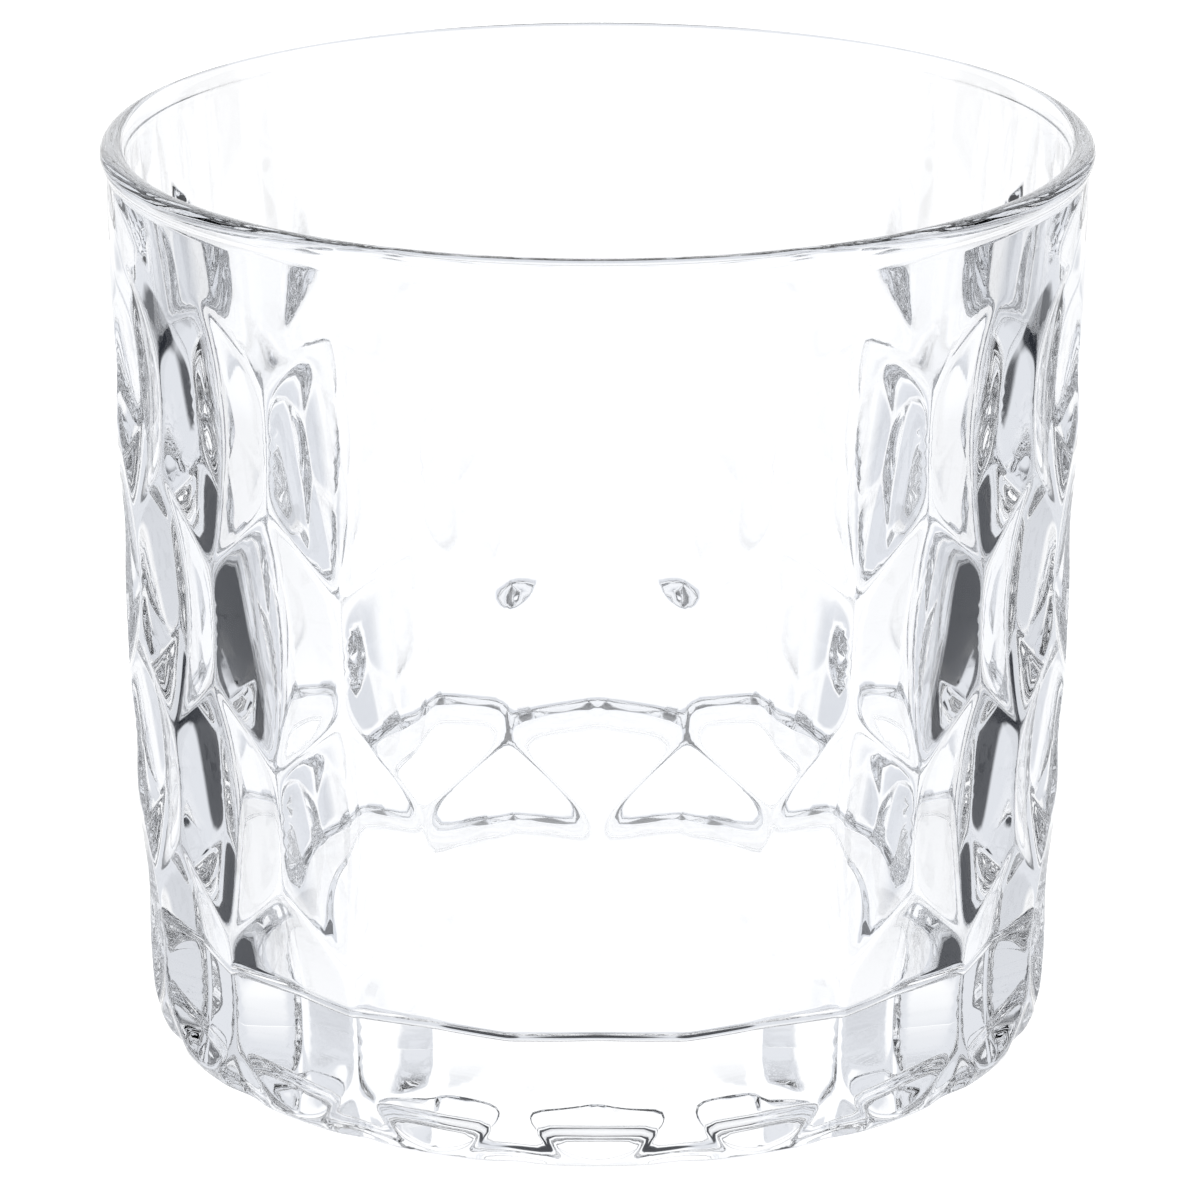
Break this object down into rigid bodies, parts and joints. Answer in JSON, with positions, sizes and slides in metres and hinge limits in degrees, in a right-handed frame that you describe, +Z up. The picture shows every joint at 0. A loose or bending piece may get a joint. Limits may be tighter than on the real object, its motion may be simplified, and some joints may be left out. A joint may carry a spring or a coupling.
{
  "type": "whiskey tumbler",
  "caption": "Low, wide whiskey tumbler in clear cut crystal: rolled rim, plain upper wall, staggered rows of leaf-shaped mitre cuts down to a thick flat base.",
  "frame": {"origin": "centre of the foot, on the surface that the tumbler stands on", "axes": "+Z up along the tumbler's axis of symmetry, out of the mouth; -Y faces a crease of the leaf rows two and four"},
  "size_m": [0.084, 0.084, 0.0781],
  "materials": {
    "crystal": "clear colourless cut crystal, fire-polished, with crisp bright facets"
  },
  "bodies": {
    "root": {"tumbler_body": "crystal"}
  },
  "joints": []
}
